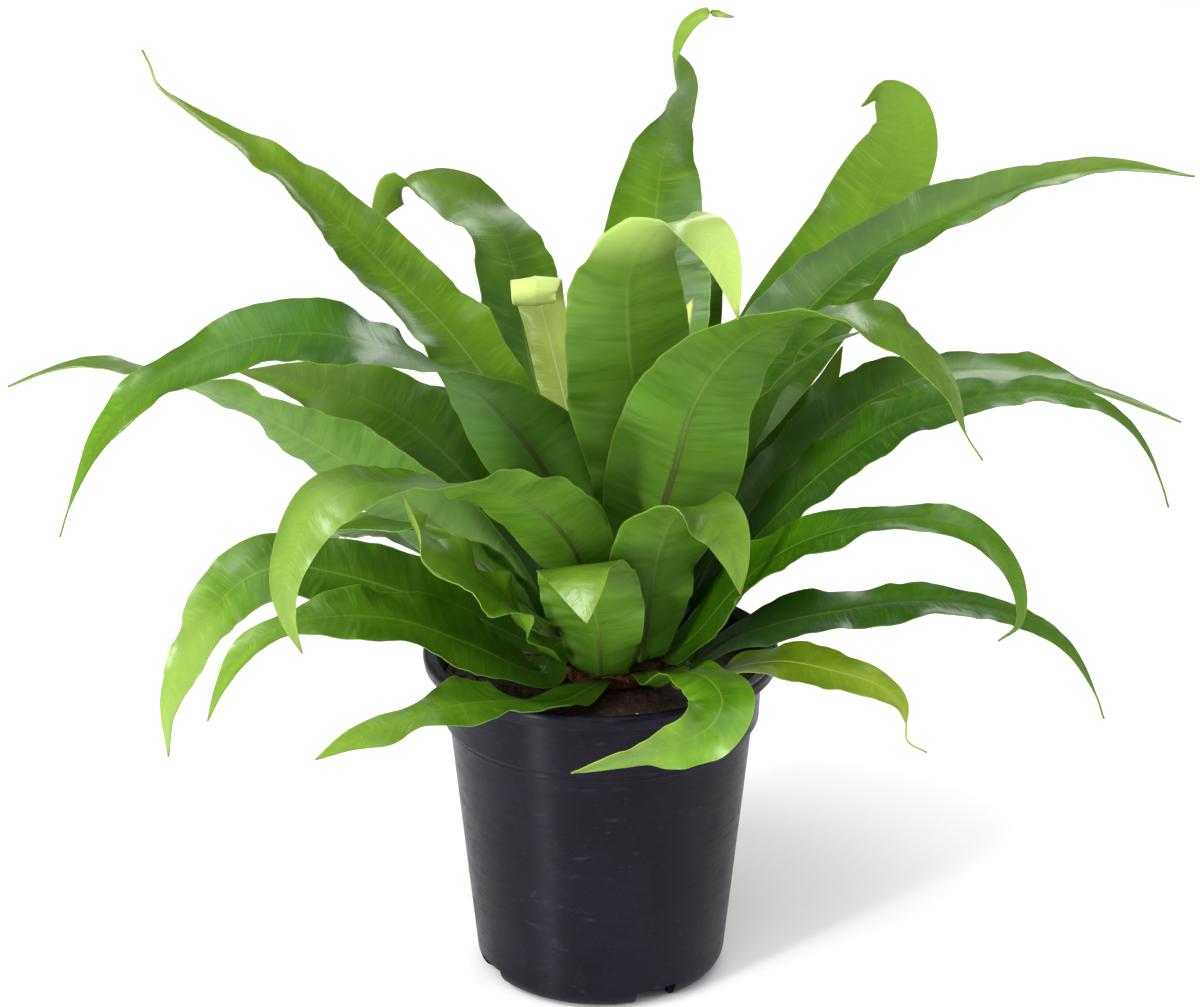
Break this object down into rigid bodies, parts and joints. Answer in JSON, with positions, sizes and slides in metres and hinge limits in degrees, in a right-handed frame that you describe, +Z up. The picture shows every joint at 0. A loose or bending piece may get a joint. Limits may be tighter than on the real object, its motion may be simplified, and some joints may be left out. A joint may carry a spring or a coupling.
{
  "type": "potted bird's nest fern",
  "caption": "Strap-leaved fern growing in a round black plastic nursery pot, with long arching fronds rising from a crown in the potting mix.",
  "frame": {"origin": "middle of the pot's underside, on the surface that the pot stands on", "axes": "+Z up along the pot's axis, -Y to the front of the plant, +X to its right seen from the front"},
  "size_m": [0.6225, 0.3826, 0.5037],
  "materials": {
    "pot_plastic": "black moulded plastic, satin",
    "potting_mix": "damp peat and coir",
    "crown_scales": "brown papery scales",
    "frond_green": "waxy leaf, semi-gloss",
    "frond_young": "soft young leaf, semi-gloss",
    "frond_old": "yellowing leaf, semi-gloss"
  },
  "bodies": {
    "root": {"pot": "pot_plastic", "potting_mix": "potting_mix", "crown": "crown_scales", "frond_upper_left": "frond_green", "frond_back_left_bent": "frond_green", "frond_tall_centre": "frond_green", "frond_tall_back": "frond_green", "frond_back_wavy": "frond_green", "frond_right_hooked": "frond_green", "frond_far_right_top": "frond_green", "frond_centre_right_arch": "frond_green", "frond_right_under_arch": "frond_green", "frond_right_pointed": "frond_green", "frond_right_long": "frond_green", "frond_right_hanging": "frond_green", "frond_right_mid_arch": "frond_green", "frond_right_low_arch": "frond_green", "frond_old_right": "frond_old", "frond_front_drooping": "frond_green", "frond_front_folded": "frond_green", "frond_front_tucked": "frond_green", "frond_front_left_arch": "frond_green", "frond_left_ruffled": "frond_green", "frond_left_dark": "frond_green", "frond_left_hanging": "frond_green", "frond_left_low": "frond_green", "frond_front_left_low": "frond_green", "frond_left_big_arch": "frond_green", "frond_far_left": "frond_green", "frond_left_lit": "frond_green", "frond_back_right_low": "frond_green", "frond_back_right": "frond_green", "frond_back": "frond_green", "frond_back_left": "frond_green", "frond_back_left_low": "frond_green", "frond_back_low": "frond_green", "frond_young_scrolled": "frond_young", "frond_young_right": "frond_young"}
  },
  "joints": []
}
